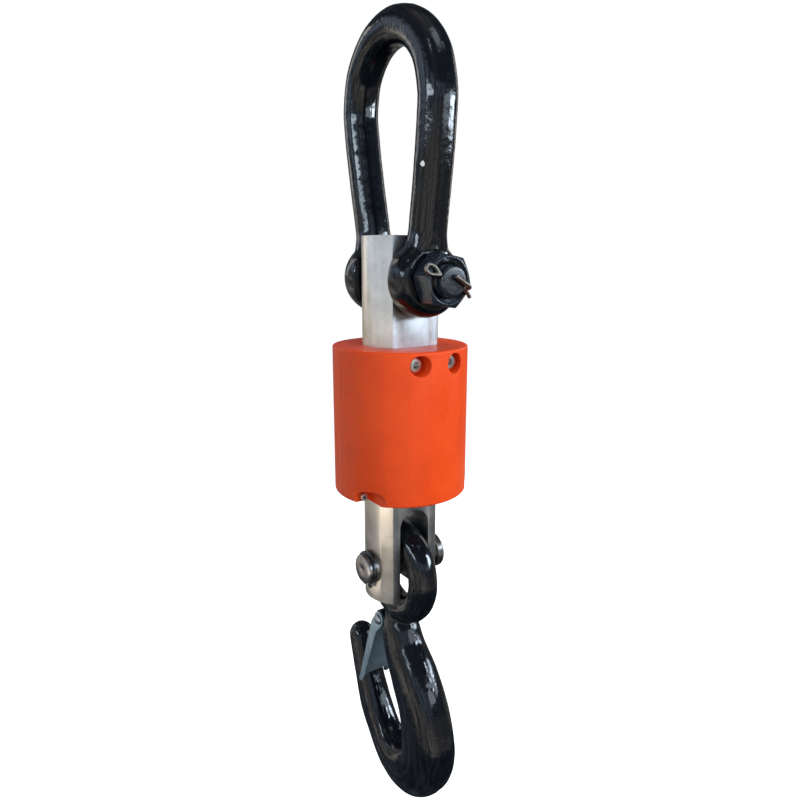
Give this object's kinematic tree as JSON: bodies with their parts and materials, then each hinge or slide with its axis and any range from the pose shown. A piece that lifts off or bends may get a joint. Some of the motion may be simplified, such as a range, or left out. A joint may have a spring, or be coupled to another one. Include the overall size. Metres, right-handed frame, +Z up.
{
  "type": "crane scale",
  "caption": "Hanging crane scale: bow shackle, steel load cell bar in an orange plastic drum housing, and an eye hook with a sprung latch.",
  "frame": {"origin": "the inside of the bow's crown, where a crane's hook carries the scale", "axes": "+Z up along the line of pull; X along the shackle bolt with +X towards its nut and the housing's front shell; Y along the hook pin"},
  "size_m": [0.1263, 0.0898, 0.5414],
  "materials": {
    "black_paint": "gloss",
    "cell_steel": "satin",
    "pin_steel": "satin",
    "zinc_steel": "satin",
    "stainless": "satin",
    "spring_steel": "satin",
    "orange_plastic": "satin",
    "black_plastic": "matte",
    "black_rubber": "matte",
    "circuit_board": "gloss",
    "gauge_foil": "satin",
    "brass": "satin",
    "cell_wrap": "gloss",
    "lamp_lens": "gloss"
  },
  "bodies": {
    "shackle": {"shackle_bow": "black_paint"},
    "shackle_bolt_set": {"shackle_bolt": "black_paint", "shackle_nut": "black_paint", "split_pin": "pin_steel"},
    "pin": {"hook_pin": "pin_steel", "circlip": "spring_steel"},
    "load_hook": {"hook": "black_paint", "latch_pin": "zinc_steel"},
    "latch": {"hook_latch": "zinc_steel", "latch_spring": "spring_steel"},
    "button": {"power_button": "black_rubber"},
    "cap": {"charge_cap": "black_rubber"},
    "scale_body": {"load_cell_body": "cell_steel", "strain_gauge_front_upper": "gauge_foil", "strain_gauge_front_lower": "gauge_foil", "strain_gauge_rear_upper": "gauge_foil", "strain_gauge_rear_lower": "gauge_foil", "gauge_cover_front": "stainless", "gauge_cover_rear": "stainless", "gauge_lead": "black_rubber", "front_shell": "orange_plastic", "rear_shell": "orange_plastic", "bottom_seal": "black_rubber", "top_seal": "black_rubber", "housing_screw_front_left": "stainless", "housing_screw_front_right": "stainless", "housing_screw_rear_left": "stainless", "housing_screw_rear_right": "stainless", "joint_screw_left": "stainless", "joint_screw_right": "stainless", "joint_insert_left": "brass", "joint_insert_right": "brass", "transmitter_board": "circuit_board", "board_screw_1": "zinc_steel", "board_screw_2": "zinc_steel", "board_screw_3": "zinc_steel", "board_screw_4": "zinc_steel", "radio_module": "stainless", "scale_processor": "black_plastic", "antenna": "black_rubber", "gauge_lead_plug": "black_plastic", "battery_lead_plug": "black_plastic", "battery_holder": "black_plastic", "battery_cell_left": "cell_wrap", "battery_cell_right": "cell_wrap", "battery_lead": "black_rubber", "button_bezel": "stainless", "power_switch": "black_plastic", "status_lamp": "lamp_lens", "charge_socket": "black_plastic", "charge_socket_nut": "stainless"}
  },
  "joints": [
    {"name": "bolt_spin", "type": "hinge", "parent": "shackle", "child": "shackle_bolt_set", "pos_m": [0, 0, -0.1395], "axis": [1, 0, 0], "continuous": true},
    {"name": "scale_swing", "type": "hinge", "parent": "shackle", "child": "scale_body", "pos_m": [0, 0, -0.1395], "axis": [1, 0, 0], "range_deg": [-115, 115]},
    {"name": "pin_spin", "type": "hinge", "parent": "scale_body", "child": "pin", "pos_m": [0, 0, -0.3367], "axis": [0, 1, 0], "continuous": true},
    {"name": "hook_swing", "type": "hinge", "parent": "scale_body", "child": "load_hook", "pos_m": [0, 0, -0.3367], "axis": [0, 1, 0], "range_deg": [-100, 100]},
    {"name": "latch_pivot", "type": "hinge", "parent": "load_hook", "child": "latch", "pos_m": [-0.0135, 0, -0.3884], "axis": [0, -1, 0], "range_deg": [0, 30], "stiffness_Nm_per_rad": 0.06, "springref_deg": -28.65},
    {"name": "button_press", "type": "slide", "parent": "scale_body", "child": "button", "axis": [1, 0, 0], "range_m": [0, 0.001], "stiffness_N_per_m": 1500},
    {"name": "cap_pull", "type": "slide", "parent": "scale_body", "child": "cap", "axis": [-0.6157, 0.788, 0], "range_m": [0, 0.008]}
  ]
}
